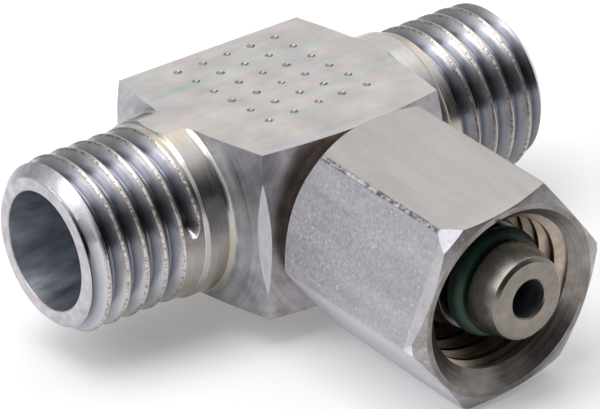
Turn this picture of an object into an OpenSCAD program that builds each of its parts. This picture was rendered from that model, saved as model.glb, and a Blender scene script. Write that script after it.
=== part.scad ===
// Adjustable branch tee for 6 mm tube: two threaded studs in line, and a cone nipple with a swivel nut.
// Millimetres. The origin is where the run axis and the branch axis cross.
// The run lies along X, the branch points along -Y, and +Z is up.

/* [Studs] */
// Distance from the branch axis to each stud face
run_reach = 19; // [17:0.5:24]
// Outside diameter of the stud threads
stud_d = 11.86; // [11.5:0.02:12.2]
// Pitch of the threads on the studs and in the nut
thread_pitch = 1.5; // [1.25:0.25:1.75]
// Depth of the stud threads
thread_depth = 0.92; // [0.7:0.02:1]
// Length of the smooth lead at the front of each stud, with its chamfer
lead_len = 1.5; // [1:0.1:2]
// Length of the chamfer at the front edge of each stud
lead_chamfer = 0.9; // [0.3:0.05:1]
// Length of the smooth neck between the block and the thread
neck_len = 1.8; // [1:0.1:2.5]
// How far the neck stands above the thread crests
neck_rise = 0.22; // [0.1:0.02:0.4]
// Radius in the corner between each neck and the block
neck_fillet = 0.4; // [0.2:0.05:0.6]

/* [Tube ports] */
// Diameter of the 24 degree cone at the stud face
mouth_d = 8.1; // [7.9:0.05:8.5]
// Diameter of the seat that the tube end enters
seat_d = 6.1; // [5.9:0.05:6.3]
// Depth from the stud face to the bottom of the seat
seat_depth = 7; // [6.5:0.1:8]
// Diameter of the bore through the run
run_bore_d = 4; // [3:0.1:4.6]

/* [Block] */
// Height of the block between its milled flats
block_h = 12; // [11.4:0.1:14]
// Distance from the branch axis to the block's front corners, along the run
corner_x = 7.2; // [6.8:0.1:8.5]
// Distance from the run axis to the block's front corners, along the branch
corner_y = 8.45; // [8:0.05:9.5]
// Distance from the run axis to the back of the block
back_y = 7.2; // [6.6:0.1:8]
// Angle at which the turned faces fall away from the necks
face_angle = 15; // [8:1:20]
// How far the raw edges at the front corners stand out past those corners
front_edge = 0.4; // [0.2:0.05:0.7]
// How far the raw edges at the back corners stand out past the front ones
back_edge = 0.55; // [0.3:0.05:0.8]

/* [Punch marks] */
// Number of punch marks along the run
marks_x = 5; // [1:1:6]
// Number of punch marks across the run
marks_y = 6; // [1:1:6]
// Distance between punch marks along the run
mark_pitch_x = 2.03; // [1.6:0.01:2.1]
// Distance between punch marks across the run
mark_pitch_y = 2; // [1.6:0.05:2.1]
// Middle of the punch marks along the run
mark_mid_x = 0.32; // [-0.5:0.01:0.5]
// Middle of the punch marks across the run
mark_mid_y = 0.57; // [-0.2:0.01:0.8]
// Width of one punch mark
mark_d = 0.62; // [0.3:0.02:0.8]
// Depth of one punch mark
mark_depth = 0.16; // [0.05:0.01:0.25]

/* [Branch nipple] */
// Diameter of the shank that the nut turns on
shank_d = 9; // [8.8:0.1:9.2]
// Depth of the wire groove in the shank
wire_groove_depth = 0.65; // [0.5:0.05:0.8]
// Length of the shank in front of the wire groove
land_len = 1.4; // [1:0.1:2]
// Length of the waist between the shank and the cone
waist_len = 3.2; // [2:0.01:4]
// Diameter of the waist
waist_d = 7.4; // [7:0.1:7.8]
// Diameter at the nipple's tip
tip_d = 5.5; // [5.2:0.05:5.8]
// Bevel at the nipple's tip
tip_bevel = 0.2; // [0.1:0.02:0.3]
// Diameter of the branch bore
branch_bore_d = 2.6; // [2:0.1:3]

/* [O-ring] */
// Thickness of the ring
ring_d = 1.44; // [1.2:0.02:1.6]
// Inside diameter of the ring on its groove
ring_id = 4.42; // [4:0.02:4.6]
// Distance from the tip to the middle of the ring
ring_back = 3.37; // [3:0.01:3.8]
// Width of the ring's groove
ring_groove_w = 2.25; // [1.8:0.05:2.4]

/* [Swivel nut] */
// Width across the flats of the nut
nut_af = 13.8; // [13.6:0.1:14.4]
// Length of the nut
nut_len = 14.2; // [13.6:0.1:15]
// Turn of the nut about its own axis
nut_turn = 7.9; // [-30:0.1:30]
// Angle at which the loose nut hangs down on the shank
nut_droop = 4.15; // [0:0.05:4.5]
// Distance from the nut's back face to the middle of its wire groove
wire_in = 2.2; // [2:0.05:2.6]
// Play of the nut round the shank, on the radius, beyond what its droop takes up
nut_play = 0.28; // [0.2:0.02:0.35]
// Gap between the nut and the block at rest, where they are closest
nut_gap = 0.13; // [0.05:0.01:0.4]
// Length of the collar at the back of the nut
collar_len = 4.4; // [4:0.1:5]
// Length of the thread relief in front of the collar
relief_len = 1.5; // [1:0.1:2]
// Depth of the nut's thread
nut_thread_depth = 0.83; // [0.7:0.01:0.9]
// Gap between the crests of a stud and the roots of the nut's thread
thread_gap = 0.09; // [0.05:0.01:0.15]
// Diameter of the countersink at the nut's mouth
sink_d = 12.76; // [12.4:0.02:12.9]
// Length of the countersink at the nut's mouth
sink_len = 1.25; // [0.8:0.05:1.6]
// Diameter of the flat ring on the nut's front face
front_ring_d = 13.5; // [13.2:0.02:13.6]
// Length of the front bevel at the nut's corners
front_bevel_len = 0.6; // [0.3:0.05:1.5]
// Diameter of the nut's back face
back_face_d = 13.6; // [12.6:0.05:13.7]
// Length of the back bevel at the nut's corners
back_bevel_len = 1.2; // [0.5:0.05:1.5]

/* [Retaining wire] */
// Thickness of the wire
wire_d = 1.2; // [1:0.05:1.3]
// Running gap at the sides of the wire
wire_gap = 0.05; // [0.02:0.01:0.1]
// Gap inside and outside the wire, on the radius
wire_play = 0.2; // [0.1:0.01:0.25]
// Angle left open between the ends of the wire
wire_open = 24; // [10:1:60]
// How far the nut can slide forwards
nut_travel = 2; // [1:0.1:2.5]

/* [Hidden] */
$fn = 96;

cone_angle = 12;    // half of the 24 degree cone
flank_angle = 30;   // half of the angle between thread flanks
overlap = 0.5;      // how far cutters run past what they cut
sliver = 0.01;      // how far shapes that meet run into each other
shank_foot = 0.2;   // bevel where the shank meets the block
cone_bevel = 0.3;   // bevel at the back of the cone
cone_rise = 0.03;   // how far the cone's back edge stands above the mouth it seals
ring_gap = 0.01;    // gap between the ring and the root of its groove
runout = 0.3;       // length over which the nut's thread meets its relief
stud_r = stud_d / 2;
neck_r = stud_r + neck_rise;
half_h = block_h / 2;
fall = tan(face_angle);

// Where the turned faces lie at the necks and shank
run_face = corner_x + fall * (norm([corner_y, half_h]) - neck_r);
branch_face = corner_y + fall * (norm([corner_x, half_h]) - neck_r);

// The stud thread: each groove is a ring, one pitch from the next
thread_back = run_face + neck_len;
thread_front = run_reach - lead_len;
crest_flat = thread_pitch / 8;
root_flat = thread_pitch / 6;
crest_gap = root_flat + 2 * thread_depth * tan(flank_angle);
groove_count = floor((thread_front - thread_back + crest_flat) / thread_pitch);

// The nut on its wire
droop_back = sin(nut_droop) * back_face_d / 2;
wire_y = branch_face + nut_gap + droop_back + wire_in * cos(nut_droop);
nut_back = -wire_in;
nut_front = nut_len - wire_in;
collar_front = nut_back + collar_len;
collar_r = shank_d / 2 + nut_play + tan(nut_droop) * max(wire_in, collar_front);
nut_root_r = stud_r + thread_gap;
nut_minor_r = nut_root_r - nut_thread_depth;
nut_root_flat = thread_pitch / 9;
nut_crest_gap = nut_root_flat + 2 * nut_thread_depth * tan(flank_angle);
nut_crest_flat = thread_pitch - nut_crest_gap;
nut_thread_back = collar_front + relief_len;
nut_thread_front = nut_front - sink_len;
nut_groove_count = floor((nut_thread_front - nut_thread_back) / thread_pitch);

// The wire, half in the nut and half in the shank
wire_groove_r = shank_d / 2 - wire_groove_depth;
wire_mid_r = wire_groove_r + wire_play + wire_d / 2;
wire_root_r = wire_mid_r + wire_d / 2 + wire_play;
wire_tilt = sin(nut_droop) * (wire_mid_r + wire_d / 2);
shank_groove_back = wire_y - wire_d / 2 - wire_tilt - wire_gap;
shank_groove_front = wire_y + nut_travel + wire_d / 2 + wire_tilt + wire_gap;

// The nipple, from the shank to the tip
land_front = shank_groove_front + land_len;
cone_back_r = mouth_d / 2 + cone_rise;
cone_back = land_front + waist_len;
tip_reach = cone_back + (cone_back_r - tip_d / 2) / tan(cone_angle);
ring_groove_r = ring_id / 2 - ring_gap;
ring_mid = tip_reach - ring_back;
ring_groove_back = ring_mid - ring_groove_w / 2;
ring_groove_front = ring_mid + ring_groove_w / 2;

// Radius of the nipple's cone at a distance along the branch
function cone_r(y) = tip_d / 2 + (tip_reach - y) * tan(cone_angle);

module along_run() {
    rotate([0, 90, 0]) children();
}

module along_branch() {
    rotate([90, 0, 0]) children();
}

// Places a piece on the nut's own axis, with its origin at the middle of the wire
module on_nut_axis() {
    translate([0, -wire_y, 0]) rotate([nut_droop, 0, 0]) rotate([90, 0, 0]) children();
}

// Ring left by a turning tool: a V groove, widest at the crests
module thread_groove(crest_r, root_r, flat, gap) {
    past_r = crest_r + (crest_r - root_r) / 10;
    past_half = gap / 2 + (gap - flat) / 20;
    rotate_extrude()
        polygon([
            [root_r, -flat / 2],
            [root_r, flat / 2],
            [past_r, past_half],
            [past_r, -past_half]
        ]);
}

// Outline of the block seen from above, with its raw edges
module block_outline() {
    side = run_face + overlap;
    front = branch_face + overlap;
    front_sum = corner_x + corner_y + front_edge;
    back_sum = corner_x + back_y + back_edge;
    polygon([
        [-side, back_sum - side],
        [back_y - back_sum, back_y],
        [back_sum - back_y, back_y],
        [side, back_sum - side],
        [side, side - front_sum],
        [front_sum - front, -front],
        [front - front_sum, -front],
        [-side, side - front_sum]
    ]);
}

// Turned faces at both ends of the block, round the run axis
module run_faces() {
    reach = norm([corner_y, half_h]) + overlap;
    edge = run_face - fall * (reach - neck_r);
    along_run()
        rotate_extrude()
            polygon([
                [0, -run_face],
                [neck_r, -run_face],
                [reach, -edge],
                [reach, edge],
                [neck_r, run_face],
                [0, run_face]
            ]);
}

// Turned face round the branch axis
module branch_faces() {
    reach = norm([run_face, half_h]) + overlap;
    edge = branch_face - fall * (reach - neck_r);
    along_branch()
        rotate_extrude()
            polygon([
                [0, -reach],
                [reach, -reach],
                [reach, edge],
                [neck_r, branch_face],
                [0, branch_face]
            ]);
}

module block() {
    intersection() {
        translate([0, 0, -half_h]) linear_extrude(block_h) block_outline();
        run_faces();
        branch_faces();
    }
}

// One stud from the middle of the block to its face, with its neck and threads
module stud() {
    foot = fall * neck_fillet;
    intersection() {
        rotate_extrude()
            union() {
                polygon([
                    [0, 0],
                    [neck_r, 0],
                    [neck_r, thread_back - neck_rise],
                    [stud_r, thread_back],
                    [stud_r, run_reach - lead_chamfer],
                    [stud_r - lead_chamfer, run_reach],
                    [0, run_reach]
                ]);
                difference() {
                    translate([neck_r - overlap, run_face - foot])
                        square([overlap + neck_fillet, neck_fillet + foot]);
                    translate([neck_r + neck_fillet, run_face + neck_fillet])
                        circle(r = neck_fillet, $fn = 48);
                }
            }
        translate([-half_h, -block_h, 0]) cube([block_h, 2 * block_h, run_reach + overlap]);
    }
}

module stud_grooves() {
    for (i = [0 : groove_count - 1])
        translate([0, 0, thread_front - crest_gap / 2 - i * thread_pitch])
            thread_groove(stud_r, stud_r - thread_depth, root_flat, crest_gap);
}

// Tube port: 24 degree cone, then the seat for the tube end
module port() {
    cone_len = (mouth_d - seat_d) / 2 / tan(cone_angle);
    past_r = mouth_d / 2 + overlap * tan(cone_angle);
    translate([0, 0, run_reach - cone_len])
        cylinder(h = cone_len + overlap, r1 = seat_d / 2, r2 = past_r);
    translate([0, 0, run_reach - seat_depth])
        cylinder(h = seat_depth - cone_len + sliver, r = seat_d / 2);
}

// Shank, wire groove, waist and cone nipple, turned round the branch axis
module nipple() {
    shank_r = shank_d / 2;
    waist_r = waist_d / 2;
    along_branch()
        rotate_extrude()
            polygon([
                [0, 0],
                [shank_r + shank_foot, 0],
                [shank_r + shank_foot, branch_face],
                [shank_r, branch_face + shank_foot],
                [shank_r, shank_groove_back],
                [wire_groove_r, shank_groove_back],
                [wire_groove_r, shank_groove_front],
                [shank_r, shank_groove_front],
                [shank_r, land_front],
                [waist_r, land_front + shank_r - waist_r],
                [waist_r, cone_back - cone_bevel],
                [cone_back_r, cone_back],
                [cone_r(ring_groove_back), ring_groove_back],
                [ring_groove_r, ring_groove_back],
                [ring_groove_r, ring_groove_front],
                [cone_r(ring_groove_front), ring_groove_front],
                [cone_r(tip_reach - tip_bevel), tip_reach - tip_bevel],
                [tip_d / 2 - tip_bevel, tip_reach],
                [0, tip_reach]
            ]);
}

// Shallow conical punch marks on the top flat
module punch_marks() {
    for (i = [0 : marks_x - 1], j = [0 : marks_y - 1])
        translate([
            mark_mid_x + (i - (marks_x - 1) / 2) * mark_pitch_x,
            mark_mid_y + (j - (marks_y - 1) / 2) * mark_pitch_y,
            half_h - mark_depth
        ])
            cylinder(h = 2 * mark_depth, r1 = 0, r2 = mark_d, $fn = 24);
}

module tee_body() {
    color([0.74, 0.73, 0.72])
        difference() {
            union() {
                block();
                along_run() stud();
                mirror([1, 0, 0]) along_run() stud();
                nipple();
            }
            along_run() stud_grooves();
            mirror([1, 0, 0]) along_run() stud_grooves();
            along_run() port();
            mirror([1, 0, 0]) along_run() port();
            along_run() translate([0, 0, -run_reach]) cylinder(h = 2 * run_reach, d = run_bore_d);
            along_branch() cylinder(h = tip_reach + overlap, d = branch_bore_d);
            punch_marks();
        }
}

module o_ring() {
    color([0.1, 0.26, 0.17])
        translate([0, -ring_mid, 0])
            along_branch()
                rotate_extrude()
                    translate([ring_id / 2 + ring_d / 2, 0]) circle(d = ring_d, $fn = 48);
}

module retaining_wire() {
    color([0.6, 0.6, 0.62])
        on_nut_axis()
            rotate([0, 0, wire_open / 2])
                rotate_extrude(angle = 360 - wire_open)
                    translate([wire_mid_r, 0]) circle(d = wire_d, $fn = 48);
}

// Hexagon bar of the nut, with its corners bevelled at both ends
module nut_blank() {
    corner_r = nut_af / 2 / cos(30);
    intersection() {
        rotate([0, 0, nut_turn])
            translate([0, 0, nut_back]) cylinder(h = nut_len, r = corner_r, $fn = 6);
        rotate_extrude()
            polygon([
                [0, nut_back],
                [back_face_d / 2, nut_back],
                [corner_r + sliver, nut_back + back_bevel_len],
                [corner_r + sliver, nut_front - front_bevel_len],
                [front_ring_d / 2, nut_front],
                [0, nut_front]
            ]);
    }
}

// Inside of the nut: collar bore with its wire groove, relief, thread bore and countersink
module nut_inside() {
    wire_half = wire_d / 2 + wire_gap;
    rotate_extrude()
        polygon([
            [0, nut_back - overlap],
            [collar_r, nut_back - overlap],
            [collar_r, -wire_half],
            [wire_root_r, -wire_half],
            [wire_root_r, wire_half],
            [collar_r, wire_half],
            [collar_r, collar_front],
            [nut_root_r, collar_front + runout],
            [nut_root_r, nut_thread_back - runout],
            [nut_minor_r, nut_thread_back + runout],
            [nut_minor_r, nut_thread_front],
            [sink_d / 2, nut_front],
            [sink_d / 2, nut_front + overlap],
            [0, nut_front + overlap]
        ]);
    for (i = [0 : nut_groove_count - 1])
        translate([0, 0, nut_thread_front - nut_crest_flat - nut_crest_gap / 2 - i * thread_pitch])
            thread_groove(nut_minor_r, nut_root_r, nut_root_flat, nut_crest_gap);
}

// Hole in one flat, where the wire is fed into its groove
module wire_hole() {
    rotate([0, 0, nut_turn - 30])
        rotate([0, 90, 0])
            cylinder(h = nut_af, d = wire_d + 2 * wire_gap);
}

module swivel_nut() {
    color([0.7, 0.69, 0.7])
        on_nut_axis()
            difference() {
                nut_blank();
                nut_inside();
                wire_hole();
            }
}

tee_body();
o_ring();
retaining_wire();
swivel_nut();
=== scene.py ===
import math

import bpy
from mathutils import Matrix, Vector


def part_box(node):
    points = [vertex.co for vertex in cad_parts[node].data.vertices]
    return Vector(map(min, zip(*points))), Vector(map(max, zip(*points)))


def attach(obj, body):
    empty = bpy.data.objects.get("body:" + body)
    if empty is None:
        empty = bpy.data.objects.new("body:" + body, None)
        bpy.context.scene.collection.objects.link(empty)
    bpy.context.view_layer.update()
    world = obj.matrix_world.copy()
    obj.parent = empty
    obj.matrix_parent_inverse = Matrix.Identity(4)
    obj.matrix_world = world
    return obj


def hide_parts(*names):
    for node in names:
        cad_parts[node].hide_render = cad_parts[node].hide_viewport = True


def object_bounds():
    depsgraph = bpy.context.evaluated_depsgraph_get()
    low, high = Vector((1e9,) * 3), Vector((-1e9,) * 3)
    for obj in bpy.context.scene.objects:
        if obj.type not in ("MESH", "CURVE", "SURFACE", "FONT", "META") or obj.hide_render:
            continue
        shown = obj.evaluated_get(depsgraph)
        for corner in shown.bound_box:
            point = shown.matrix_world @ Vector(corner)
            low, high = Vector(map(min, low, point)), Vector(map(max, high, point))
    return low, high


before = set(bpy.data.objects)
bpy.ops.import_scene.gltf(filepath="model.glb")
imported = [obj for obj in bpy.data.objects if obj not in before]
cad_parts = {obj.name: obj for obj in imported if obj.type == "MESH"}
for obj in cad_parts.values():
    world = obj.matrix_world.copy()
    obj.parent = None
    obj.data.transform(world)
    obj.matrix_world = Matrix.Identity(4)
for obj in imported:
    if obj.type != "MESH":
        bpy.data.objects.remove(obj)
cad_low, cad_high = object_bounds()

# The tee's blank. On the real part it is a steel forging: a flat block with a round bar out of
# three sides. It is drawn here in millimetres, lying on the crossing of the run and the branch,
# and every piece of steel is made metres once it is finished.
MM = 0.001
tee_low, tee_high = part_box("tee_body")
run_reach = tee_high.x / MM
tip_reach = -tee_low.y / MM
block_height = (tee_high.z - tee_low.z) / MM
front_corner = Vector((7.2, 8.45))
back_y = 7.2
front_edge = 0.29
back_edge = 0.55
spare_side = 2.5
spare_front = 2
bar_radius = 6.8
bar_steps = 64
past = 0.6
weld = 0.0005


def select_only(piece):
    """Leaves one object selected and active, as a click on it does."""
    bpy.ops.object.select_all(action="DESELECT")
    piece.select_set(True)
    bpy.context.view_layer.objects.active = piece


def edit_faces(piece, wanted):
    """Goes to edit mode with only the wanted faces of a piece selected."""
    select_only(piece)
    bpy.ops.object.mode_set(mode="EDIT")
    bpy.ops.mesh.select_mode(type="FACE")
    bpy.ops.mesh.select_all(action="DESELECT")
    bpy.ops.object.mode_set(mode="OBJECT")
    for polygon in piece.data.polygons:
        polygon.select = wanted(polygon)
    bpy.ops.object.mode_set(mode="EDIT")


def sketch(name, points):
    """Draws a line by extruding one vertex from point to point, and stays in edit mode."""
    bpy.ops.object.select_all(action="DESELECT")
    bpy.ops.mesh.primitive_plane_add(size=1)
    piece = bpy.context.object
    piece.name = name
    bpy.ops.object.mode_set(mode="EDIT")
    bpy.ops.mesh.merge(type="CENTER")
    bpy.ops.transform.translate(value=points[0])
    for here, there in zip(points, points[1:]):
        step = Vector(there) - Vector(here)
        bpy.ops.mesh.extrude_region_move(TRANSFORM_OT_translate={"value": step})
    bpy.ops.mesh.select_all(action="SELECT")
    bpy.ops.mesh.remove_doubles(threshold=weld)
    return piece


def machine(piece, tool, operation):
    """Joins a shape to a piece, cuts it out, or keeps only what both share. The tool is used up."""
    select_only(piece)
    bpy.ops.object.modifier_add(type="BOOLEAN")
    modifier = piece.modifiers[-1]
    modifier.operation = operation
    modifier.solver = "EXACT"
    modifier.object = tool
    bpy.ops.object.modifier_apply(modifier=modifier.name)
    bpy.data.objects.remove(tool)


def place(piece, matrix):
    """Moves and turns a finished mesh, with its object left at the origin."""
    select_only(piece)
    piece.matrix_world = matrix
    bpy.ops.object.transform_apply(location=True, rotation=True, scale=True)


side = front_corner.x + spare_side
front = front_corner.y + spare_front
front_sum = front_corner.x + front_corner.y + front_edge
back_sum = front_corner.x + back_y + back_edge
half_outline = [
    (back_sum - back_y, back_y),
    (side, back_sum - side),
    (side, side - front_sum),
    (front_sum - front, -front),
]
outline = half_outline + [(-x, y) for x, y in reversed(half_outline)]
deep = block_height / 2 + past
tee = sketch("tee_steel", [(x, y, -deep) for x, y in outline + outline[:1]])
bpy.ops.mesh.edge_face_add()
bpy.ops.mesh.extrude_region_move(TRANSFORM_OT_translate={"value": (0, 0, 2 * deep)})
bpy.ops.mesh.select_all(action="SELECT")
bpy.ops.mesh.normals_make_consistent(inside=False)
bpy.ops.object.mode_set(mode="OBJECT")

bpy.ops.mesh.primitive_cylinder_add(
    vertices=bar_steps,
    radius=bar_radius,
    depth=2 * (run_reach + past),
    rotation=(0, math.pi / 2, 0),
)
run_bar = bpy.context.object
place(run_bar, run_bar.matrix_world.copy())
machine(tee, run_bar, "UNION")
bpy.ops.mesh.primitive_cylinder_add(
    vertices=bar_steps,
    radius=bar_radius,
    depth=tip_reach + past,
    location=(0, -(tip_reach + past) / 2, 0),
    rotation=(math.pi / 2, 0, 0),
)
branch_bar = bpy.context.object
place(branch_bar, branch_bar.matrix_world.copy())
machine(tee, branch_bar, "UNION")

# Both studs are turned between centres in one clamping: plain necks, thread blanks with a
# chamfer at the face, and a shallow 15 degree cone that the tool leaves on the block.
stud_radius = 5.93
neck_radius = 6.15
neck_length = 2.05
neck_step = 0.22
neck_fillet = 0.45
lead_chamfer = 0.93
face_fall = math.tan(math.radians(15))
lathe_steps = 128


def rounded(corners, arc_steps=4):
    """Turns each (radius, along, rounding) corner of an outline into an arc of that radius."""
    points = []
    for index, corner in enumerate(corners):
        here = Vector(corner[:2])
        if len(corner) == 2:
            points.append(here)
            continue
        before = (Vector(corners[index - 1][:2]) - here).normalized()
        after = (Vector(corners[index + 1][:2]) - here).normalized()
        half = before.angle(after) / 2
        middle = here + (before + after).normalized() * corner[2] / math.sin(half)
        start = here + before * corner[2] / math.tan(half) - middle
        end = here + after * corner[2] / math.tan(half) - middle
        for step in range(arc_steps + 1):
            spoke = start.lerp(end, step / arc_steps).normalized()
            points.append(middle + spoke * corner[2])
    return points


def both_ends(half):
    """A half outline, followed by its mirror image at the other end of the axis."""
    return half + [(corner[0], -corner[1], *corner[2:]) for corner in reversed(half)]


def lathe(name, corners, steps=lathe_steps):
    """Spins an outline of (radius, along) corners round Z into a closed solid."""
    piece = sketch(name, [(point[0], 0, point[1]) for point in rounded(corners)])
    bpy.ops.mesh.select_all(action="SELECT")
    bpy.ops.mesh.spin(steps=steps, angle=2 * math.pi, center=(0, 0, 0), axis=(0, 0, 1))
    bpy.ops.mesh.select_all(action="SELECT")
    bpy.ops.mesh.remove_doubles(threshold=weld)
    bpy.ops.mesh.normals_make_consistent(inside=False)
    bpy.ops.object.mode_set(mode="OBJECT")
    return piece


along_run = Matrix.Rotation(math.pi / 2, 4, "Y")
along_branch = Matrix.Rotation(math.pi / 2, 4, "X")
half_height = block_height / 2
run_face = front_corner.x + face_fall * (math.hypot(front_corner.y, half_height) - neck_radius)
thread_back = run_face + neck_length
stud_corners = [
    (0, run_reach),
    (stud_radius - lead_chamfer, run_reach, 0.2),
    (stud_radius, run_reach - lead_chamfer, 0.4),
    (stud_radius, thread_back, 0.1),
    (neck_radius, thread_back - neck_step, 0.12),
    (neck_radius, run_face, neck_fillet),
]
cone_out = math.hypot(front_corner.y, half_height) + 2
cone_low = run_face - face_fall * (cone_out - neck_radius)
wide = tip_reach + past
half_turned = stud_corners + [(cone_out, cone_low), (wide, cone_low)]
turned_run = lathe("turned_run", both_ends(half_turned))
place(turned_run, along_run)
machine(tee, turned_run, "INTERSECT")

# The branch is turned in a second clamping: the shank that the nut hangs on with its wire
# groove, the waist, and the 24 degree cone nipple with its O-ring groove and bevelled tip.
shank_radius = 4.5
shank_foot = 0.2
groove_root = 3.85
waist_radius = 3.7
cone_back_radius = 4.08
tip_radius = 2.75
tip_bevel = 0.22
ring_back = 3.37
ring_groove_width = 2.25
ring_groove_root = 2.2
cone_slope = math.tan(math.radians(12))
droop = math.radians(4.15)
nut_gap = 0.13
wire_in = 2.2
wire_half = 0.6
wire_gap = 0.05
travel = 2
wire_mid = 4.65
nut_back_radius = 6.8
land_length = 1.4
waist_length = 3.2
branch_face = front_corner.y + face_fall * (math.hypot(front_corner.x, half_height) - neck_radius)
wire_y = branch_face + nut_gap + math.sin(droop) * nut_back_radius + wire_in * math.cos(droop)
wire_room = wire_half + math.sin(droop) * (wire_mid + wire_half) + wire_gap
groove_back = wire_y - wire_room
groove_front = wire_y + travel + wire_room
land_front = groove_front + land_length
cone_back = land_front + waist_length
ring_middle = tip_reach - ring_back
ring_low = ring_middle - ring_groove_width / 2
ring_high = ring_middle + ring_groove_width / 2
branch_out = math.hypot(run_face, half_height) + 2
branch_rim = branch_face - face_fall * (branch_out - neck_radius)
turned_branch = lathe(
    "turned_branch",
    [
        (0, -run_reach - past),
        (run_reach + past, -run_reach - past),
        (run_reach + past, branch_rim),
        (branch_out, branch_rim),
        (shank_radius + shank_foot, branch_face, 0.05),
        (shank_radius, branch_face + shank_foot, 0.1),
        (shank_radius, groove_back, 0.08),
        (groove_root, groove_back, 0.08),
        (groove_root, groove_front, 0.08),
        (shank_radius, groove_front, 0.08),
        (shank_radius, land_front, 0.1),
        (waist_radius, land_front + shank_radius - waist_radius, 0.2),
        (waist_radius, cone_back - 0.3, 0.2),
        (cone_back_radius, cone_back, 0.1),
        (tip_radius + (tip_reach - ring_low) * cone_slope, ring_low, 0.06),
        (ring_groove_root, ring_low, 0.1),
        (ring_groove_root, ring_high, 0.1),
        (tip_radius + (tip_reach - ring_high) * cone_slope, ring_high, 0.06),
        (tip_radius + tip_bevel * cone_slope, tip_reach - tip_bevel, 0.12),
        (tip_radius - tip_bevel, tip_reach, 0.12),
        (0, tip_reach),
    ],
)
place(turned_branch, along_branch)
machine(tee, turned_branch, "INTERSECT")

# The top and bottom are milled flat after turning, which also shaves a narrow tongue off each
# neck. The edges that the cutter leaves are only broken with a file.
edge_break = 0.07
hair = 0.001
select_only(tee)
bpy.ops.object.mode_set(mode="EDIT")
for sign in (1, -1):
    bpy.ops.mesh.select_all(action="SELECT")
    bpy.ops.mesh.bisect(
        plane_co=(0, 0, sign * half_height),
        plane_no=(0, 0, sign),
        use_fill=True,
        clear_outer=True,
    )
bpy.ops.mesh.select_all(action="DESELECT")
bpy.ops.object.mode_set(mode="OBJECT")
on_flat = [abs(abs(vertex.co.z) - half_height) < hair for vertex in tee.data.vertices]
for edge in tee.data.edges:
    edge.select = all(on_flat[index] for index in edge.vertices)
bpy.ops.object.mode_set(mode="EDIT")
bpy.ops.mesh.bevel(offset=edge_break, segments=1, clamp_overlap=True)
bpy.ops.object.mode_set(mode="OBJECT")

# The stud threads are M12 x 1.5, right-hand. The cutter enters over the chamfer at the face and
# is pulled out just short of the neck, where it leaves a round end, at a distance along the run
# and an angle round it in degrees. The tool for the far stud is the same, turned half round.
pitch = 1.5
thread_depth = 0.92
groove_section = [
    (-thread_depth, 0),
    (-0.912, 0.06),
    (-0.885, 0.12),
    (-0.835, 0.17),
    (-0.17, 0.555),
    (-0.1, 0.6),
    (-0.04, 0.65),
    (-0.006, 0.705),
    (0.04, 0.735),
]
tool_steps = 120
run_out_rings = 5
run_out_swell = 0.2
near_end = (11.2, 88, 0)
far_end = (11.44, 45, math.pi)
entry_room = 0.2


def groove_tool(name, section, radius, turns, end_rings):
    """Winds a groove's section round Z as a right-hand helix, and lifts its far end clear."""
    loop = [(radius + depth, 0, half) for depth, half in section]
    loop += [(radius + depth, 0, -half) for depth, half in reversed(section) if half]
    tool = sketch(name, loop + loop[:1])
    bpy.ops.object.mode_set(mode="OBJECT")
    count = len(tool.data.vertices)
    last_ring = round(turns * tool_steps)
    bpy.ops.object.modifier_add(type="SCREW")
    screw = tool.modifiers[-1]
    screw.angle = turns * 2 * math.pi
    screw.screw_offset = turns * pitch
    screw.steps = screw.render_steps = last_ring
    screw.use_smooth_shade = False
    bpy.ops.object.modifier_apply(modifier=screw.name)
    for ring in range(end_rings):
        share = (end_rings - ring) / end_rings
        swell = 1 + run_out_swell * (1 - math.sqrt(1 - share * share))
        first = (last_ring - ring) * count
        for vertex in tool.data.vertices:
            vertex.select = first <= vertex.index < first + count
        bpy.ops.object.mode_set(mode="EDIT")
        bpy.ops.transform.resize(value=(swell, swell, 1), center_override=(0, 0, 0))
        bpy.ops.object.mode_set(mode="OBJECT")
    bpy.ops.object.mode_set(mode="EDIT")
    bpy.ops.mesh.select_all(action="SELECT")
    bpy.ops.mesh.fill_holes(sides=0)
    bpy.ops.mesh.select_all(action="SELECT")
    bpy.ops.mesh.normals_make_consistent(inside=False)
    bpy.ops.object.mode_set(mode="OBJECT")
    return tool


for end_along, end_angle, half_turn in (near_end, far_end):
    turns = (run_reach + entry_room - end_along) / pitch
    tool = groove_tool("thread_tool", groove_section, stud_radius, turns, run_out_rings)
    start = Matrix.Translation((0, 0, -run_reach - entry_room))
    angle = math.radians(end_angle) + math.pi - turns * 2 * math.pi
    turn = Matrix.Rotation(angle, 4, "Z")
    place(tool, Matrix.Rotation(half_turn, 4, "Z") @ along_run @ start @ turn)
    machine(tee, tool, "DIFFERENCE")

# The bores are drilled and reamed: a 24 degree cone and a tube seat in each stud, one hole
# right through the run, and a smaller one down the branch that opens into it.
mouth_radius = 4.05
seat_radius = 3.05
seat_depth = 7
run_bore_radius = 2
branch_bore_radius = 1.3
mouth_break = 0.1
tip_break = 0.1
drill_width = 0.3
drill_point = 0.2
cone_length = (mouth_radius - seat_radius) / cone_slope
half_bore = [
    (0, run_reach + past),
    (mouth_radius + mouth_break + past, run_reach + past),
    (mouth_radius + mouth_break / 2, run_reach - mouth_break / 2),
    (seat_radius, run_reach - cone_length, 0.3),
    (seat_radius, run_reach - seat_depth),
    (run_bore_radius + drill_width, run_reach - seat_depth),
    (run_bore_radius, run_reach - seat_depth - drill_point),
]
run_drill = lathe("run_drill", both_ends(half_bore), steps=96)
place(run_drill, along_run)
machine(tee, run_drill, "DIFFERENCE")
branch_drill = lathe(
    "branch_drill",
    [
        (0, 0),
        (branch_bore_radius, 0),
        (branch_bore_radius, tip_reach - tip_break),
        (branch_bore_radius + past, tip_reach + past - tip_break),
        (0, tip_reach + past - tip_break),
    ],
    steps=64,
)
place(branch_drill, along_branch)
machine(tee, branch_drill, "DIFFERENCE")

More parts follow.
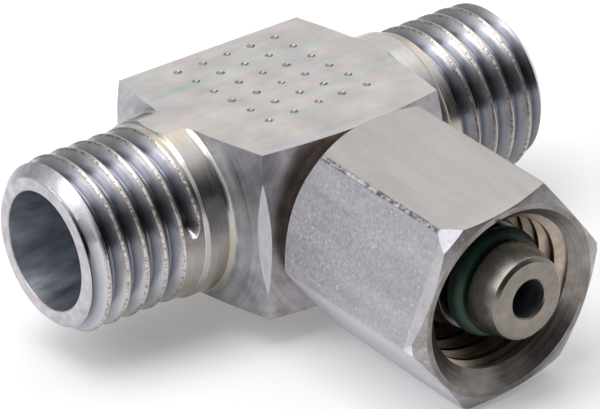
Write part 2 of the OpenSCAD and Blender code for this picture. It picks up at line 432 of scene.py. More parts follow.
# A grid of centre-punch marks stands on the top flat. Each blow lands a little differently,
# so the marks differ in size, and a shade off the grid.
marks_x = 5
marks_y = 6
mark_pitch = Vector((2.03, 2.0))
mark_middle = Vector((0.32, 0.57))
mark_radius = 0.29
mark_depth = 0.2
mark_drift = 0.07
mark_uneven = 0.16
punch_flare = 1.5


def drift(number):
    """A repeatable wobble between -1 and 1 for the mark of that number."""
    return math.sin(number * 12.9898) * math.cos(number * 4.1414)


bpy.ops.mesh.primitive_cone_add(
    vertices=16, radius1=0, radius2=mark_radius, depth=mark_depth, location=(0, 0, 0)
)
punch = bpy.context.object
edit_faces(punch, lambda face: face.normal.z > 0.9)
bpy.ops.mesh.extrude_region_move(TRANSFORM_OT_translate={"value": (0, 0, mark_depth)})
bpy.ops.transform.resize(value=(punch_flare, punch_flare, 1))
bpy.ops.mesh.select_mode(type="VERT")
bpy.ops.object.mode_set(mode="OBJECT")
punches = []
for row in range(marks_y):
    for column in range(marks_x):
        number = row * marks_x + column + 1
        copy = bpy.data.objects.new("mark", punch.data.copy())
        bpy.context.scene.collection.objects.link(copy)
        size = 1 + mark_uneven * drift(number + 50)
        spot = Vector(
            (
                mark_middle.x + (column - (marks_x - 1) / 2) * mark_pitch.x,
                mark_middle.y + (row - (marks_y - 1) / 2) * mark_pitch.y,
                half_height - mark_depth / 2,
            )
        )
        spot += Vector((drift(number), drift(number + 7), 0)) * mark_drift
        place(copy, Matrix.Translation(spot) @ Matrix.Scale(size, 4))
        punches.append(copy)
bpy.data.objects.remove(punch)
bpy.ops.object.select_all(action="DESELECT")
for copy in punches:
    copy.select_set(True)
bpy.context.view_layer.objects.active = punches[0]
bpy.ops.object.join()
machine(tee, bpy.context.object, "DIFFERENCE")

# The finished tee is zinc plated and passivated. Its milled flats are pale and satin, its turned
# faces keep the rings of the tool, its necks are wiped bright, and its threads and port rims are
# worn brown along their edges.
smooth_angle = math.radians(28)
skin = 0.02
chamfer_skin = 0.07
marked_half = Vector((5, 7))


def finish_steel(piece):
    """Shades a finished piece smooth between its real edges and makes it metres."""
    select_only(piece)
    bpy.ops.object.shade_smooth_by_angle(angle=smooth_angle)
    place(piece, Matrix.Scale(MM, 4))


def shader(name, metallic, specular=0.5):
    """Starts a material and returns its tree, its surface shader and its place in millimetres."""
    material = bpy.data.materials.new(name)
    material.use_nodes = True
    tree = material.node_tree
    surface = tree.nodes["Principled BSDF"]
    surface.inputs["Metallic"].default_value = metallic
    surface.inputs["Specular IOR Level"].default_value = specular
    coordinates = tree.nodes.new("ShaderNodeTexCoord")
    in_mm = stretched(tree, coordinates.outputs["Object"], (1 / MM, 1 / MM, 1 / MM))
    return material, tree, surface, in_mm


def stretched(tree, vector, scale, turn=(0, 0, 0), shift=(0, 0, 0)):
    """The same place, stretched, turned or shifted for one pattern."""
    mapping = tree.nodes.new("ShaderNodeMapping")
    mapping.inputs["Scale"].default_value = scale
    mapping.inputs["Rotation"].default_value = turn
    mapping.inputs["Location"].default_value = shift
    tree.links.new(vector, mapping.inputs["Vector"])
    return mapping.outputs["Vector"]


def noise(tree, vector, scale, detail=4, roughness=0.55):
    """Cloudy noise between 0 and 1, of about one blotch to each unit over scale."""
    texture = tree.nodes.new("ShaderNodeTexNoise")
    texture.inputs["Scale"].default_value = scale
    texture.inputs["Detail"].default_value = detail
    texture.inputs["Roughness"].default_value = roughness
    tree.links.new(vector, texture.inputs["Vector"])
    return texture.outputs["Fac"]


def ramp(tree, value, stops):
    """Colours a value between 0 and 1 by a list of (place, colour) stops."""
    made = tree.nodes.new("ShaderNodeValToRGB")
    elements = made.color_ramp.elements
    elements[0].position = stops[0][0]
    elements[0].color = (*stops[0][1], 1)
    elements[1].position = stops[-1][0]
    elements[1].color = (*stops[-1][1], 1)
    for position, colour in stops[1:-1]:
        elements.new(position).color = (*colour, 1)
    tree.links.new(value, made.inputs["Fac"])
    return made.outputs["Color"]


def spread(tree, value, low, high, from_low=0.3, from_high=0.7):
    """Stretches the middle of a value to run from low to high."""
    made = tree.nodes.new("ShaderNodeMapRange")
    made.inputs["From Min"].default_value = from_low
    made.inputs["From Max"].default_value = from_high
    made.inputs["To Min"].default_value = low
    made.inputs["To Max"].default_value = high
    tree.links.new(value, made.inputs["Value"])
    return made.outputs["Result"]


def mixed(tree, share, first, second, blend="MIX"):
    """Mixes two colours by a share, or by another blend such as MULTIPLY."""
    made = tree.nodes.new("ShaderNodeMix")
    made.data_type = "RGBA"
    made.blend_type = blend
    sockets = (made.inputs[0], made.inputs[6], made.inputs[7])
    for socket, value in zip(sockets, (share, first, second)):
        if isinstance(value, (float, int)):
            socket.default_value = value
        elif isinstance(value, tuple):
            socket.default_value = (*value, 1)
        else:
            tree.links.new(value, socket)
    return made.outputs[2]


def coat(tree, surface, tint, roughness):
    """Gives a surface its colour and its roughness."""
    tree.links.new(tint, surface.inputs["Base Color"])
    tree.links.new(roughness, surface.inputs["Roughness"])


def bumped(tree, surface, height, strength, distance):
    """Adds one layer of relief, of a depth in millimetres, over what the surface has."""
    made = tree.nodes.new("ShaderNodeBump")
    made.inputs["Strength"].default_value = strength
    made.inputs["Distance"].default_value = distance * MM
    tree.links.new(height, made.inputs["Height"])
    if surface.inputs["Normal"].links:
        tree.links.new(surface.inputs["Normal"].links[0].from_socket, made.inputs["Normal"])
    tree.links.new(made.outputs["Normal"], surface.inputs["Normal"])


def radius_round(tree, vector, keep):
    """Distance of a point from an axis, where keep holds a 1 for each direction across it."""
    flatten = tree.nodes.new("ShaderNodeVectorMath")
    flatten.operation = "MULTIPLY"
    flatten.inputs[1].default_value = keep
    tree.links.new(vector, flatten.inputs[0])
    length = tree.nodes.new("ShaderNodeVectorMath")
    length.operation = "LENGTH"
    tree.links.new(flatten.outputs["Vector"], length.inputs[0])
    return length.outputs["Value"]


def lathe_marks(tree, radius, scale, detail=6, roughness=0.65):
    """Uneven rings between 0 and 1, as a turning tool leaves them on a face."""
    texture = tree.nodes.new("ShaderNodeTexNoise")
    texture.noise_dimensions = "1D"
    texture.inputs["Scale"].default_value = scale
    texture.inputs["Detail"].default_value = detail
    texture.inputs["Roughness"].default_value = roughness
    tree.links.new(radius, texture.inputs["W"])
    return texture.outputs["Fac"]


def brushed_round(tree, surface, vector, axis, share):
    """Draws the highlights out across the rings that a tool leaves round an axis."""
    around = tree.nodes.new("ShaderNodeVectorMath")
    around.operation = "CROSS_PRODUCT"
    around.inputs[1].default_value = axis
    tree.links.new(vector, around.inputs[0])
    to_world = tree.nodes.new("ShaderNodeVectorTransform")
    to_world.vector_type = "VECTOR"
    to_world.convert_from = "OBJECT"
    to_world.convert_to = "WORLD"
    tree.links.new(around.outputs["Vector"], to_world.inputs["Vector"])
    tree.links.new(to_world.outputs["Vector"], surface.inputs["Tangent"])
    surface.inputs["Anisotropic"].default_value = share


def milled_flat():
    """Pale satin zinc in faint tints, streaked along the run by the cutter."""
    material, tree, surface, in_mm = shader("milled_flat", 0.9)
    streaks = noise(tree, stretched(tree, in_mm, (0.12, 0.9, 0.9)), 0.9, detail=5)
    tint = ramp(
        tree,
        streaks,
        [
            (0.3, (0.48, 0.54, 0.535)),
            (0.45, (0.575, 0.56, 0.52)),
            (0.55, (0.6, 0.53, 0.51)),
            (0.7, (0.5, 0.52, 0.56)),
        ],
    )
    stains = spread(tree, noise(tree, in_mm, 0.35, detail=6), 0.82, 1.06)
    tint = mixed(tree, 1.0, tint, stains, "MULTIPLY")
    scratches = noise(tree, stretched(tree, in_mm, (0.35, 7, 1)), 1.6, detail=4)
    tint = mixed(tree, 0.35, tint, spread(tree, scratches, 0.8, 1.15), "MULTIPLY")
    coat(tree, surface, tint, spread(tree, scratches, 0.42, 0.55))
    bumped(tree, surface, scratches, 0.3, 0.012)
    bumped(tree, surface, noise(tree, in_mm, 9, detail=2), 0.25, 0.008)
    return material


def punch_mark_painted_shade():
    """The steel at the bottom of a punch blow, darkened as painted shade in the pit."""
    material, tree, surface, in_mm = shader("punch_mark_painted_shade", 0.9)
    grain = noise(tree, in_mm, 6, detail=2)
    tint = ramp(tree, grain, [(0.35, (0.18, 0.17, 0.16)), (0.65, (0.3, 0.29, 0.28))])
    coat(tree, surface, tint, spread(tree, grain, 0.22, 0.32))
    return material


def turned_face(name, axis, light, dark):
    """Zinc over the rings that a turning tool leaves round an axis."""
    material, tree, surface, in_mm = shader(name, 0.95)
    marks = lathe_marks(tree, radius_round(tree, in_mm, Vector((1, 1, 1)) - axis), 2.2)
    cloud = noise(tree, in_mm, 0.8, detail=5)
    tint = ramp(tree, cloud, [(0.35, dark), (0.65, light)])
    tint = mixed(tree, 0.5, tint, spread(tree, marks, 0.75, 1.3), "MULTIPLY")
    coat(tree, surface, tint, spread(tree, marks, 0.26, 0.38))
    brushed_round(tree, surface, in_mm, axis, 0.7)
    bumped(tree, surface, marks, 0.3, 0.025)
    bumped(tree, surface, noise(tree, in_mm, 5, detail=3), 0.15, 0.01)
    return material


def raw_side():
    """The forging's own skin, plated with the rest."""
    material, tree, surface, in_mm = shader("raw_side", 0.9)
    grain = noise(tree, stretched(tree, in_mm, (2.5, 2.5, 0.5)), 1.5, detail=5)
    tint = ramp(tree, grain, [(0.35, (0.42, 0.41, 0.45)), (0.65, (0.54, 0.52, 0.56))])
    coat(tree, surface, tint, spread(tree, grain, 0.38, 0.5))
    bumped(tree, surface, grain, 0.4, 0.03)
    return material


def thread_steel():
    """Bluish zinc with painted shade, dark in the roots and light on the crests, and brown specks
    where the crests are worn.
    """
    material, tree, surface, in_mm = shader("thread_steel", 0.95)
    radius = radius_round(tree, in_mm, (0, 1, 1))
    height = spread(tree, radius, 0, 1, stud_radius - thread_depth, stud_radius)
    # Colour by height in the groove: painted shade in the roots, lighter towards the crests.
    painted_groove_shade = ramp(
        tree,
        height,
        [
            (0.0, (0.16, 0.16, 0.19)),
            (0.3, (0.36, 0.37, 0.41)),
            (0.75, (0.54, 0.535, 0.575)),
            (1.0, (0.62, 0.59, 0.58)),
        ],
    )
    cloud = noise(tree, in_mm, 0.7, detail=5)
    painted_groove_shade = mixed(tree, 0.4, painted_groove_shade, spread(tree, cloud, 0.8, 1.15), "MULTIPLY")
    speckle = noise(tree, in_mm, 5, detail=3, roughness=0.7)
    edge_in = spread(tree, radius, 0, 1, stud_radius - 0.2, stud_radius - 0.08)
    edge_out = spread(tree, radius, 1, 0.25, stud_radius - 0.03, stud_radius)
    worn = mixed(tree, 1.0, edge_in, edge_out, "MULTIPLY")
    worn_speckle = mixed(tree, 1.0, worn, spread(tree, speckle, 0, 0.9, 0.46, 0.56), "MULTIPLY")
    tint = mixed(tree, worn_speckle, painted_groove_shade, (0.25, 0.18, 0.11))
    coat(tree, surface, tint, spread(tree, cloud, 0.17, 0.25))
    bumped(tree, surface, mixed(tree, 1.0, worn, speckle, "MULTIPLY"), 0.4, 0.02)
    return material


def neck_steel():
    """Bright zinc, wiped round the neck and stained golden in places."""
    material, tree, surface, in_mm = shader("neck_steel", 0.95)
    cloud = noise(tree, in_mm, 0.6, detail=5)
    tint = ramp(tree, cloud, [(0.35, (0.42, 0.405, 0.4)), (0.65, (0.49, 0.465, 0.44))])
    stain = spread(tree, noise(tree, in_mm, 0.32, detail=3), 0, 0.75, 0.5, 0.6)
    tint = mixed(tree, stain, tint, (0.48, 0.41, 0.31))
    wipes = noise(tree, stretched(tree, in_mm, (5, 0.5, 0.5)), 1, detail=4)
    tint = mixed(tree, 0.4, tint, spread(tree, wipes, 0.8, 1.15), "MULTIPLY")
    coat(tree, surface, tint, spread(tree, wipes, 0.18, 0.28))
    bumped(tree, surface, wipes, 0.2, 0.015)
    return material


def lead_steel():
    """Satin zinc on the chamfer and the face of a stud, brown at the port's rim."""
    material, tree, surface, in_mm = shader("lead_steel", 0.95)
    cloud = noise(tree, in_mm, 1.2, detail=5)
    tint = ramp(tree, cloud, [(0.35, (0.44, 0.42, 0.46)), (0.65, (0.6, 0.58, 0.62))])
    speckle = noise(tree, in_mm, 7, detail=3, roughness=0.65)
    tint = mixed(tree, 0.4, tint, spread(tree, speckle, 0.75, 1.15), "MULTIPLY")
    radius = radius_round(tree, in_mm, (0, 1, 1))
    rim = spread(tree, radius, 0.8, 0, mouth_radius + 0.06, mouth_radius + 0.2)
    worn = mixed(tree, 1.0, rim, spread(tree, cloud, 0, 1, 0.4, 0.55), "MULTIPLY")
    tint = mixed(tree, worn, tint, (0.4, 0.29, 0.17))
    coat(tree, surface, tint, spread(tree, speckle, 0.33, 0.43))
    bumped(tree, surface, speckle, 0.25, 0.015)
    return material


def bore_steel():
    """Blue-grey zinc inside the bores, streaked along the run."""
    material, tree, surface, in_mm = shader("bore_steel", 0.9)
    cloud = noise(tree, stretched(tree, in_mm, (0.5, 2, 2)), 0.7, detail=4)
    tint = ramp(tree, cloud, [(0.35, (0.22, 0.24, 0.28)), (0.65, (0.38, 0.4, 0.44))])
    coat(tree, surface, tint, spread(tree, cloud, 0.3, 0.45))
    return material


def nipple_steel():
    """Dark plain steel of the shank and cone, with painted shade that darkens it towards the back,
    deep in the nut, and lightens it towards the tip.
    """
    material, tree, surface, in_mm = shader("nipple_steel", 0.95)
    parts = tree.nodes.new("ShaderNodeSeparateXYZ")
    tree.links.new(in_mm, parts.inputs["Vector"])
    painted_shade_along = spread(tree, parts.outputs["Y"], 0, 1, -ring_high, -tip_reach)
    tint = ramp(
        tree,
        painted_shade_along,
        [(0.0, (0.13, 0.13, 0.125)), (0.6, (0.19, 0.18, 0.165)), (0.95, (0.24, 0.215, 0.19))],
    )
    cloud = noise(tree, in_mm, 0.9, detail=5)
    tint = mixed(tree, 0.8, tint, spread(tree, cloud, 0.75, 1.2), "MULTIPLY")
    speckle = noise(tree, in_mm, 6, detail=3)
    tint = mixed(tree, 0.3, tint, spread(tree, speckle, 0.7, 1.25), "MULTIPLY")
    coat(tree, surface, tint, spread(tree, cloud, 0.22, 0.32))
    bumped(tree, surface, speckle, 0.12, 0.01)
    return material


def give_materials(piece, materials, choose):
    """Fills the material slots and gives each face the one that choose names for it."""
    names = list(materials)
    for name in names:
        piece.data.materials.append(materials[name])
    for polygon in piece.data.polygons:
        polygon.material_index = names.index(choose(polygon.center, polygon.normal))


def tee_region(centre, normal):
    """Which finish a face of the tee has, by its place in millimetres."""
    from_run = math.hypot(centre.y, centre.z)
    from_branch = math.hypot(centre.x, centre.z)
    if centre.y < -branch_face + 0.1 and from_branch < shank_radius + 1:
        return "bore" if from_branch < branch_bore_radius + skin else "nipple"
    if abs(centre.x) > run_face - skin and from_run < neck_radius + neck_fillet / 2:
        if from_run < mouth_radius + skin and abs(normal.x) < 0.9:
            return "bore"
        blank = thread_back - 0.1 < abs(centre.x) and from_run > seat_radius + 1
        outside = abs(normal.x) < 0.1 and from_run > stud_radius - 0.01
        off_chamfer = run_reach + stud_radius - lead_chamfer - abs(centre.x) - from_run
        if blank and (abs(centre.x) > run_reach - 0.05 or abs(off_chamfer) < chamfer_skin):
            return "lead"
        return "thread" if blank and not outside else "neck"
    if from_run < neck_radius - 0.3 and abs(centre.z) < half_height - mark_depth - 0.1:
        return "bore"
    if abs(normal.z) > 0.95:
        return "flat"
    inside_marks = abs(centre.x) < marked_half.x and abs(centre.y) < marked_half.y
    if centre.z > half_height - mark_depth and inside_marks:
        return "mark"
    if abs(normal.x) > 0.75:
        return "run_face"
    if normal.y < -0.9:
        return "branch_face"
    return "side"


tee_finishes = {
    "flat": milled_flat(),
    "mark": punch_mark_painted_shade(),
    "run_face": turned_face(
        "turned_run_face", Vector((1, 0, 0)), (0.47, 0.47, 0.49), (0.31, 0.31, 0.33)
    ),
    "branch_face": turned_face(
        "turned_branch_face", Vector((0, 1, 0)), (0.48, 0.45, 0.47), (0.3, 0.28, 0.29)
    ),
    "side": raw_side(),
    "thread": thread_steel(),
    "neck": neck_steel(),
    "lead": lead_steel(),
    "bore": bore_steel(),
    "nipple": nipple_steel(),
}
give_materials(tee, tee_finishes, tee_region)
finish_steel(tee)
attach(tee, "tee")
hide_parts("tee_body")

# The O-ring is green rubber, moulded in two halves that leave a fine parting line round its
# outside. It is stretched into the groove of the cone nipple.
ring_thickness = 1.44
ring_inside = 4.42
parting_rise = 1.006
bpy.ops.object.select_all(action="DESELECT")
bpy.ops.mesh.primitive_torus_add(
    major_radius=(ring_inside + ring_thickness) / 2,
    minor_radius=ring_thickness / 2,
    major_segments=96,
    minor_segments=32,
)
ring = bpy.context.object
ring.name = "o_ring_rubber"
widest = ring_inside / 2 + ring_thickness - hair
for vertex in ring.data.vertices:
    vertex.select = vertex.co.xy.length > widest
bpy.ops.object.mode_set(mode="EDIT")
bpy.ops.transform.resize(value=(parting_rise, parting_rise, 1), center_override=(0, 0, 0))
bpy.ops.object.mode_set(mode="OBJECT")
place(ring, Matrix.Translation((0, -ring_middle, 0)) @ along_branch)


def green_rubber_and_shade():
    """Dark green rubber with a fine moulded grain, made darker still by painted shade for its place
    inside the nut.
    """
    material, tree, surface, in_mm = shader("green_rubber_and_shade", 0.0, 0.4)
    cloud = noise(tree, in_mm, 1.5, detail=4)
    tint = ramp(tree, cloud, [(0.35, (0.008, 0.03, 0.018)), (0.65, (0.012, 0.045, 0.026))])
    coat(tree, surface, tint, spread(tree, cloud, 0.35, 0.5))
    bumped(tree, surface, noise(tree, in_mm, 12, detail=2), 0.2, 0.01)
    return material


ring.data.materials.append(green_rubber_and_shade())
finish_steel(ring)
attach(ring, "tee")
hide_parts("o_ring")

# The retaining wire is drawn spring steel, fed into its groove through a hole in the nut. It
# can't be seen from outside, and its shape is simple enough to stay as it is.
def spring_wire():
    """Plain drawn steel, a little clouded."""
    material, tree, surface, in_mm = shader("spring_wire", 1.0)
    cloud = noise(tree, in_mm, 4, detail=4)
    tint = ramp(tree, cloud, [(0.35, (0.38, 0.38, 0.4)), (0.65, (0.52, 0.52, 0.54))])
    coat(tree, surface, tint, spread(tree, cloud, 0.25, 0.35))
    return material


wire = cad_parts["retaining_wire"]
wire.data.materials.clear()
wire.data.materials.append(spring_wire())

# The swivel nut is sawn off drawn hexagon bar, bored and threaded M12 x 1.5 inside, and
# bevelled at both ends. It hangs loose on its wire, a little drooped and turned. Each knock on
# its front corners is the corner's number, a length along the nut and a depth.
nut_across = 13.8
nut_length = 14.2
nut_turn = math.radians(7.9)
corner_break = 0.15
front_ring = 6.75
front_bevel = 0.6
strip_length = 0.95
strip_taper = 0.985
worn_corner = 2
knocks = [(0, 0.8, 0.55), (2, 1.5, 0.8), (3, 1.0, 0.6), (4, 0.8, 0.55)]
back_bevel = 1.2
sink_radius = 6.38
sink_length = 1.25
collar_length = 4.4
relief_length = 1.5
relief_slope = 0.3
collar_lead = 0.15
sink_past = 0.3
nut_play = 0.28
nut_root = 6.02
nut_minor = 5.19
wire_root = 5.45
corner_radius = nut_across / 2 / math.cos(math.pi / 6)
nut_back = -wire_in
nut_front = nut_length - wire_in
collar_front = nut_back + collar_length
collar_radius = shank_radius + nut_play + math.tan(droop) * max(wire_in, collar_front)
thread_low = collar_front + relief_length
thread_high = nut_front - sink_length
bpy.ops.object.select_all(action="DESELECT")
bpy.ops.mesh.primitive_cylinder_add(
    vertices=6,
    radius=corner_radius,
    depth=nut_length - strip_length,
    location=(0, 0, (nut_back + nut_front - strip_length) / 2),
    rotation=(0, 0, math.pi / 6 + nut_turn),
)
nut = bpy.context.object
nut.name = "swivel_nut_steel"
place(nut, nut.matrix_world.copy())
edit_faces(nut, lambda face: face.normal.z > 0.9)
bpy.ops.mesh.extrude_region_move(TRANSFORM_OT_translate={"value": (0, 0, strip_length)})
bpy.ops.transform.resize(value=(strip_taper, strip_taper, 1), center_override=(0, 0, nut_front))
bpy.ops.mesh.select_mode(type="EDGE")
bpy.ops.mesh.select_all(action="DESELECT")
bpy.ops.object.mode_set(mode="OBJECT")
for edge in nut.data.edges:
    low, high = (nut.data.vertices[index].co for index in edge.vertices)
    edge.select = abs(low.z - high.z) > strip_length / 2
bpy.ops.object.mode_set(mode="EDIT")
bpy.ops.mesh.bevel(offset=corner_break, segments=3)
bpy.ops.mesh.select_mode(type="VERT")
bpy.ops.object.mode_set(mode="OBJECT")
nut_envelope = lathe(
    "nut_envelope",
    [
        (0, nut_back),
        (nut_back_radius, nut_back, 0.12),
        (corner_radius + skin, nut_back + back_bevel),
        (corner_radius + skin, nut_front - front_bevel),
        (front_ring, nut_front, 0.08),
        (0, nut_front),
    ],
)
machine(nut, nut_envelope, "INTERSECT")
select_only(nut)
bpy.ops.object.mode_set(mode="EDIT")
for number, length, depth in knocks:
    out = Matrix.Rotation(nut_turn + number * math.pi / 3, 4, "Z") @ Vector((1, 0, 0))
    corner = out * corner_radius + Vector((0, 0, nut_front - length))
    bpy.ops.mesh.select_all(action="SELECT")
    bpy.ops.mesh.bisect(
        plane_co=corner,
        plane_no=(out * length + Vector((0, 0, depth))).normalized(),
        use_fill=True,
        clear_outer=True,
    )
bpy.ops.object.mode_set(mode="OBJECT")
wire_slot = wire_half + wire_gap
nut_bore = lathe(
    "nut_bore",
    [
        (0, nut_back - past),
        (collar_radius + past, nut_back - past),
        (collar_radius, nut_back + collar_lead),
        (collar_radius, -wire_slot),
        (wire_root, -wire_slot),
        (wire_root, wire_slot),
        (collar_radius, wire_slot),
        (collar_radius, collar_front),
        (nut_root, collar_front + relief_slope),
        (nut_root, thread_low - relief_slope),
        (nut_minor, thread_low + relief_slope),
        (nut_minor, thread_high),
        (sink_radius, nut_front, 0.05),
        (sink_radius + sink_past, nut_front + sink_past),
        (0, nut_front + sink_past),
    ],
)
machine(nut, nut_bore, "DIFFERENCE")
nut_section = [
    (0.83, 0),
    (0.82, 0.06),
    (0.76, 0.11),
    (0.05, 0.52),
    (-0.08, 0.62),
]
nut_start = 3.3
nut_turns = 5.35
nut_tool = groove_tool("nut_tool", nut_section, nut_minor, nut_turns, 0)
place(nut_tool, Matrix.Translation((0, 0, nut_start)))
machine(nut, nut_tool, "DIFFERENCE")
bpy.ops.mesh.primitive_cylinder_add(
    vertices=32,
    radius=wire_slot,
    depth=nut_across / 2 + past,
    location=((nut_across / 2 + past) / 2, 0, 0),
    rotation=(0, math.pi / 2, 0),
)
wire_drill = bpy.context.object
place(wire_drill, Matrix.Rotation(nut_turn - math.pi / 6, 4, "Z") @ wire_drill.matrix_world)
machine(nut, wire_drill, "DIFFERENCE")


def on_nut(tree, in_mm):
    """The same place in the nut's own axes, with the branch side along Y."""
    drop = Vector((0, math.cos(droop), -math.sin(droop))) * wire_y
    return stretched(tree, in_mm, (1, 1, 1), turn=(-droop, 0, 0), shift=drop)


def nut_flat(name, light, dark, pit_share, roughness=(0.4, 0.55)):
    """Drawn zinc with fine pits, bright specks that are painted glints, and dirt along the worn
    corner.
    """
    material, tree, surface, in_mm = shader(name, 0.9)
    own = on_nut(tree, in_mm)
    streaks = noise(tree, stretched(tree, own, (0.9, 0.15, 0.9)), 0.9, detail=5)
    tint = ramp(tree, streaks, [(0.35, dark), (0.65, light)])
    pits = noise(tree, own, 4, detail=5, roughness=0.75)
    tint = mixed(tree, pit_share, tint, spread(tree, pits, 0.6, 1.3, 0.35, 0.65), "MULTIPLY")
    # White specks in the colour are painted glints, where the pits would catch the light.
    painted_glints = spread(tree, noise(tree, own, 4.5, detail=1), 0, pit_share, 0.69, 0.73)
    tint = mixed(tree, painted_glints, tint, (0.9, 0.9, 0.92))
    worn_angle = nut_turn + worn_corner * math.pi / 3
    outwards = tree.nodes.new("ShaderNodeVectorMath")
    outwards.operation = "DOT_PRODUCT"
    outwards.inputs[1].default_value = (math.cos(worn_angle), 0, math.sin(worn_angle))
    tree.links.new(own, outwards.inputs[0])
    near = spread(tree, outwards.outputs["Value"], 0, 1, corner_radius - 0.12, corner_radius - 0.07)
    blotches = spread(tree, noise(tree, own, 2, detail=5, roughness=0.75), 0, 1, 0.42, 0.58)
    dirt = mixed(tree, 1.0, near, blotches, "MULTIPLY")
    tint = mixed(tree, dirt, tint, (0.11, 0.105, 0.1))
    coat(tree, surface, tint, spread(tree, pits, *roughness))
    bumped(tree, surface, pits, pit_share, 0.04)
    bumped(tree, surface, dirt, 0.5, 0.06)
    bumped(tree, surface, streaks, 0.2, 0.02)
    return material


def nut_turned(name, light, dark, mark_share=0.3):
    """Turned steel of the nut, with rings round the nut's own axis."""
    material, tree, surface, in_mm = shader(name, 0.95)
    marks = lathe_marks(tree, radius_round(tree, on_nut(tree, in_mm), (1, 0, 1)), 6)
    cloud = noise(tree, in_mm, 0.7, detail=5)
    tint = ramp(tree, cloud, [(0.35, dark), (0.65, light)])
    tint = mixed(tree, mark_share, tint, spread(tree, marks, 0.6, 1.4), "MULTIPLY")
    coat(tree, surface, tint, spread(tree, marks, 0.26, 0.38))
    bumped(tree, surface, marks, 0.3, 0.015)
    return material


def nut_region(centre, normal):
    """Which finish a face of the nut has, by its place on the nut's own axis."""
    radius = centre.xy.length
    outward = centre.xy.normalized().dot(normal.xy)
    if radius < sink_radius + skin and (outward < -0.1 or radius < nut_root + 0.03):
        return "sink" if centre.z > thread_high + 0.05 and normal.z > 0.3 else "inside"
    if centre.z < thread_low and normal.z < -0.3:
        return "back"
    if normal.z > 0.97:
        return "front"
    if normal.z > 0.7:
        return "bevel"
    if abs(normal.y) > 0.5:
        return "top" if normal.y > 0.9 else "low"
    if normal.z > 0.3:
        return "knock"
    return "strip" if centre.z > nut_front - strip_length else "flat"


nut_finishes = {
    # The top facet has a darker copy of the nut's zinc, as painted shade that holds back the light
    # falling on it from above.
    "top": nut_flat("nut_top_darkened", (0.44, 0.415, 0.4), (0.39, 0.37, 0.355), 0.12),
    "flat": nut_flat("nut_flat", (0.53, 0.51, 0.545), (0.43, 0.42, 0.46), 0.45),
    # The other facets that face steeply up or down get a lighter copy of the same zinc: painted
    # light, standing in for the white floor they mirror.
    "low": nut_flat("nut_low_flat_lightened", (0.66, 0.64, 0.69), (0.55, 0.53, 0.59), 0.35),
    "strip": nut_flat("nut_strip", (0.63, 0.61, 0.64), (0.54, 0.52, 0.55), 0.25, (0.3, 0.42)),
    "knock": nut_flat("nut_knock", (0.8, 0.79, 0.8), (0.6, 0.59, 0.6), 0.2, (0.2, 0.3)),
    "bevel": nut_flat("nut_bevel", (0.42, 0.4, 0.4), (0.28, 0.265, 0.26), 0.4, (0.28, 0.4)),
    # The front's dark colour is partly brown dirt and partly painted shade, for the dark side of
    # the room it faces.
    "front": nut_turned("nut_front_dirt_and_shade", (0.28, 0.265, 0.26), (0.17, 0.15, 0.135)),
    "back": nut_flat("nut_back", (0.45, 0.44, 0.45), (0.33, 0.32, 0.34), 0.6),
    "sink": nut_turned("nut_sink_steel", (0.33, 0.3, 0.28), (0.2, 0.18, 0.165), 0.35),
    # The thread inside the nut has a pale bronze colour: painted light, standing in for light that
    # enters the nut.
    "inside": nut_turned("nut_thread_lightened", (0.6, 0.49, 0.4), (0.38, 0.31, 0.25), 0.3),
}
give_materials(nut, nut_finishes, nut_region)
hang = Matrix.Translation((0, -wire_y, 0)) @ Matrix.Rotation(droop, 4, "X") @ along_branch
place(nut, hang)
finish_steel(nut)
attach(nut, "nut")
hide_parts("swivel_nut")

# The stage is a white floor that keeps the fitting's shadow. What the camera, metal and glass
# see of it is lifted part of the way to pure white.
floor_size = 3
floor_lift = 0.2


def white_floor():
    """Matt white that adds some light of its own only where it is seen or mirrored."""
    material, tree, surface, _ = shader("white_floor", 0.0, 0.0)
    surface.inputs["Base Color"].default_value = (0.93, 0.93, 0.93, 1)
    surface.inputs["Roughness"].default_value = 1
    path = tree.nodes.new("ShaderNodeLightPath")
    seen = path.outputs["Is Camera Ray"]
    for kind in ("Is Glossy Ray", "Is Transmission Ray"):
        either = tree.nodes.new("ShaderNodeMath")
        either.operation = "MAXIMUM"
        tree.links.new(seen, either.inputs[0])
        tree.links.new(path.outputs[kind], either.inputs[1])
        seen = either.outputs["Value"]
    share = spread(tree, seen, 0, floor_lift, 0, 1)
    white = tree.nodes.new("ShaderNodeEmission")
    lifted = tree.nodes.new("ShaderNodeMixShader")
    tree.links.new(share, lifted.inputs["Fac"])
    tree.links.new(surface.outputs["BSDF"], lifted.inputs[1])
    tree.links.new(white.outputs["Emission"], lifted.inputs[2])
    tree.links.new(lifted.outputs["Shader"], tree.nodes["Material Output"].inputs["Surface"])
    return material


bpy.ops.object.select_all(action="DESELECT")
bpy.ops.mesh.primitive_plane_add(size=floor_size, location=(0, 0, cad_low.z))
floor = bpy.context.object
floor.name = "floor"
floor.data.materials.append(white_floor())

# The studio is dim all round, with brighter patches high and low behind the fitting, on the
# left, and low on the far right, and darker ones at the camera and to its right. Each patch
# is a direction, a width in degrees and a strength, and fades out at its rim.
room_level = 0.33
patches = [
    (100, 60, 38, 1.1),
    (144, 25, 55, 0.55),
    (-97, 38, 42, 0.9),
    (75, 12, 36, 0.5),
    (26, 10, 44, -0.45),
    (-22, 24, 40, -0.35),
]
world = bpy.data.worlds.new("studio")
bpy.context.scene.world = world
world.use_nodes = True
sky = world.node_tree
direction = sky.nodes.new("ShaderNodeTexCoord").outputs["Generated"]


def towards(azimuth, elevation):
    """The direction of a place in the studio, seen from the fitting."""
    turn, lift = math.radians(azimuth), math.radians(elevation)
    return Vector(
        (math.sin(turn) * math.cos(lift), -math.cos(turn) * math.cos(lift), math.sin(lift))
    )


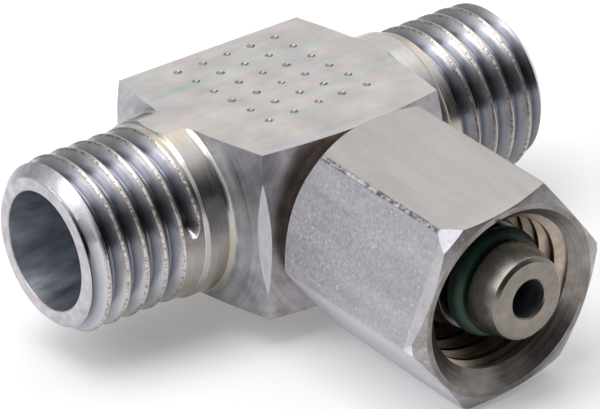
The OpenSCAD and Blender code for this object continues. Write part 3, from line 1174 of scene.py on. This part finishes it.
def added(tree, first, second):
    """The sum of two values, never below zero."""
    total = tree.nodes.new("ShaderNodeMath")
    tree.links.new(first, total.inputs[0])
    tree.links.new(second, total.inputs[1])
    floor_at_zero = tree.nodes.new("ShaderNodeMath")
    floor_at_zero.operation = "MAXIMUM"
    floor_at_zero.inputs[1].default_value = 0
    tree.links.new(total.outputs["Value"], floor_at_zero.inputs[0])
    return floor_at_zero.outputs["Value"]


level = sky.nodes.new("ShaderNodeValue")
level.outputs["Value"].default_value = room_level
light_level = level.outputs["Value"]
for azimuth, elevation, width, strength in patches:
    nearness = sky.nodes.new("ShaderNodeVectorMath")
    nearness.operation = "DOT_PRODUCT"
    nearness.inputs[1].default_value = towards(azimuth, elevation)
    sky.links.new(direction, nearness.inputs[0])
    glow = spread(sky, nearness.outputs["Value"], 0, strength, math.cos(math.radians(width)), 1)
    glow.node.interpolation_type = "SMOOTHSTEP"
    light_level = added(sky, light_level, glow)
sky.links.new(light_level, sky.nodes["Background"].inputs["Strength"])
sky.nodes["Background"].inputs["Color"].default_value = (0.98, 0.99, 1, 1)


def softbox(name, azimuth, elevation, distance, width, height, power):
    """Hangs a soft lamp towards the fitting, seen from it at that azimuth and elevation."""
    back = towards(azimuth, elevation)
    facing = (-back).to_track_quat("-Z", "Y").to_euler()
    bpy.ops.object.light_add(type="AREA", location=back * distance, rotation=facing)
    lamp = bpy.context.object
    lamp.name = name
    lamp.data.shape = "RECTANGLE"
    lamp.data.size = width
    lamp.data.size_y = height
    lamp.data.energy = power


softbox("overhead", -95, 76, 0.45, 0.34, 0.3, 1.1)
softbox("left", -100, 38, 0.45, 0.2, 0.25, 0.4)

# The camera looks down on the fitting from the branch side, as the photograph does, through
# a long lens from about 0.3 m away. Its place and focal length were fitted to visible edges.
camera_azimuth = -36.562
camera_elevation = 26.902
camera_roll = math.radians(-2.583)
camera_shift = Vector((1.526, -2.78)) * MM
camera_distance = 290.969 * MM
photo_width = 600
focal_pixels = 4342
back = towards(camera_azimuth, camera_elevation)
right = (-back).cross(Vector((0, 0, 1))).normalized()
up = right.cross(-back)
level_right = math.cos(camera_roll) * right + math.sin(camera_roll) * up
level_up = math.cos(camera_roll) * up - math.sin(camera_roll) * right
facing = Matrix((level_right, level_up, back)).transposed()
eye = level_right * camera_shift.x + level_up * camera_shift.y + back * camera_distance
bpy.ops.object.camera_add(location=eye, rotation=facing.to_euler())
camera = bpy.context.object
camera.data.sensor_width = 36
camera.data.lens = camera.data.sensor_width * focal_pixels / photo_width
camera.data.clip_start = 0.01
camera.data.clip_end = 10
bpy.context.scene.camera = camera
bpy.context.scene.view_settings.view_transform = "Standard"
